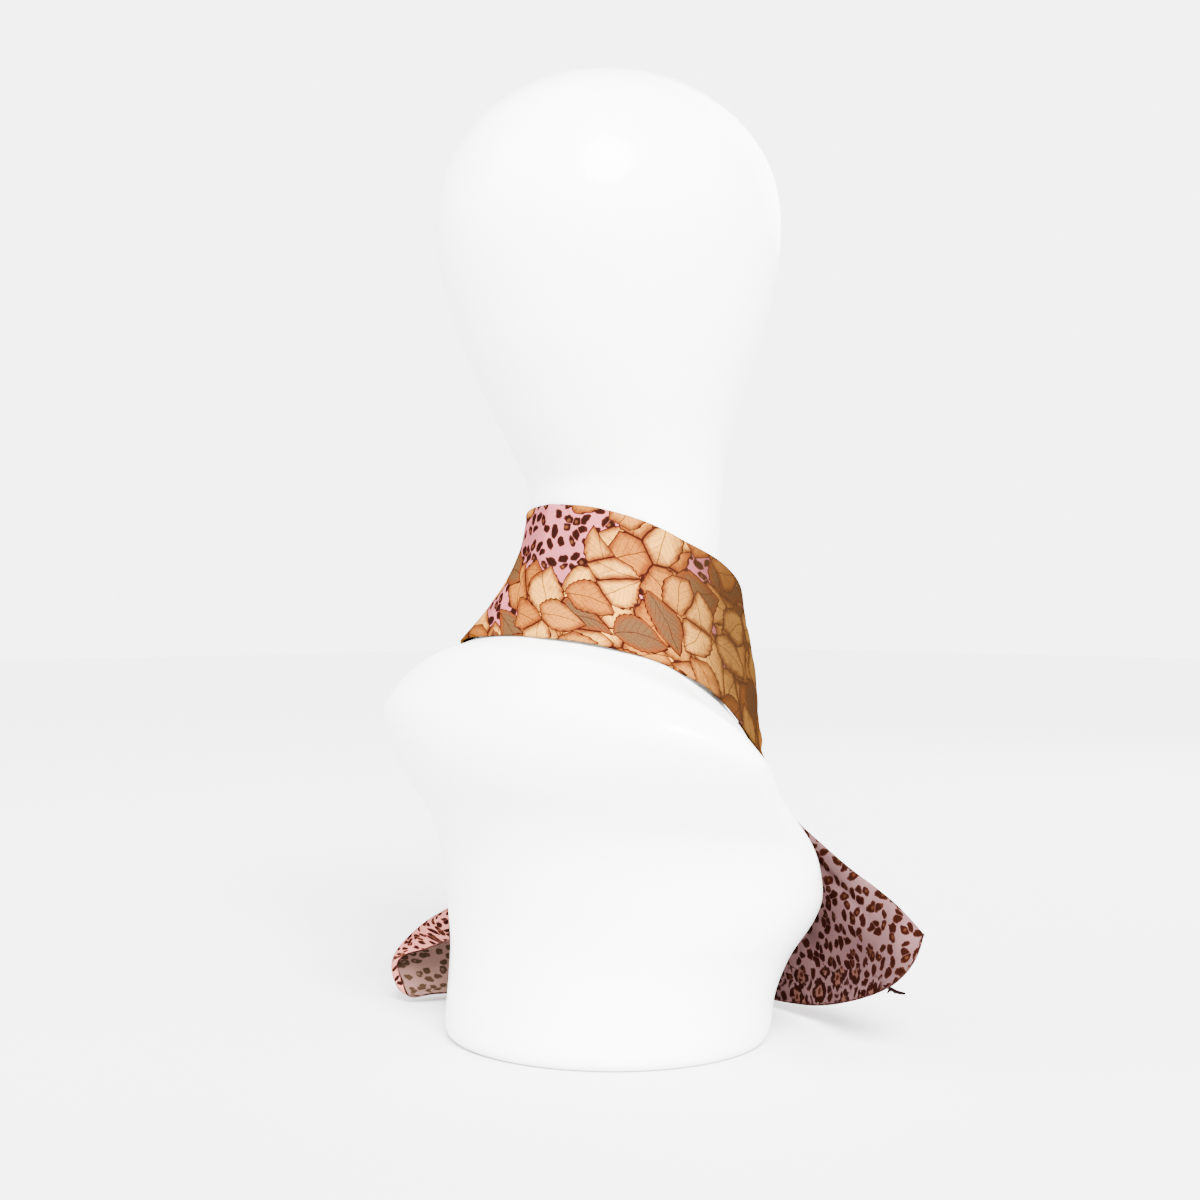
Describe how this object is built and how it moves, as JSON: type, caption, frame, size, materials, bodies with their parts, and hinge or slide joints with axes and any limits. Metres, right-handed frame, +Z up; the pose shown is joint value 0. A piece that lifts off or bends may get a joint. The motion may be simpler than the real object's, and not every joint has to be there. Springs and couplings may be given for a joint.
{
  "type": "foulard on a display bust",
  "caption": "Silk neck foulard folded into a wide band round a smooth limbless display bust, knotted low in front, with both tails spread out.",
  "frame": {"origin": "middle of the bust's flat base, on the surface it stands on", "axes": "+Z up; the front, with the knot, faces -Y; the wearer's left is +X"},
  "size_m": [0.2827, 0.2144, 0.5005],
  "materials": {
    "gloss_white": "smooth glossy white",
    "leaf_print_silk": "silk satin printed with overlapping leaves",
    "leopard_silk": "silk satin printed with leopard spots"
  },
  "bodies": {
    "root": {"display_bust": "gloss_white", "foulard_band": "leaf_print_silk", "foulard_knot": "leaf_print_silk", "foulard_tail_right": "leopard_silk", "foulard_tail_left": "leopard_silk"}
  },
  "joints": []
}
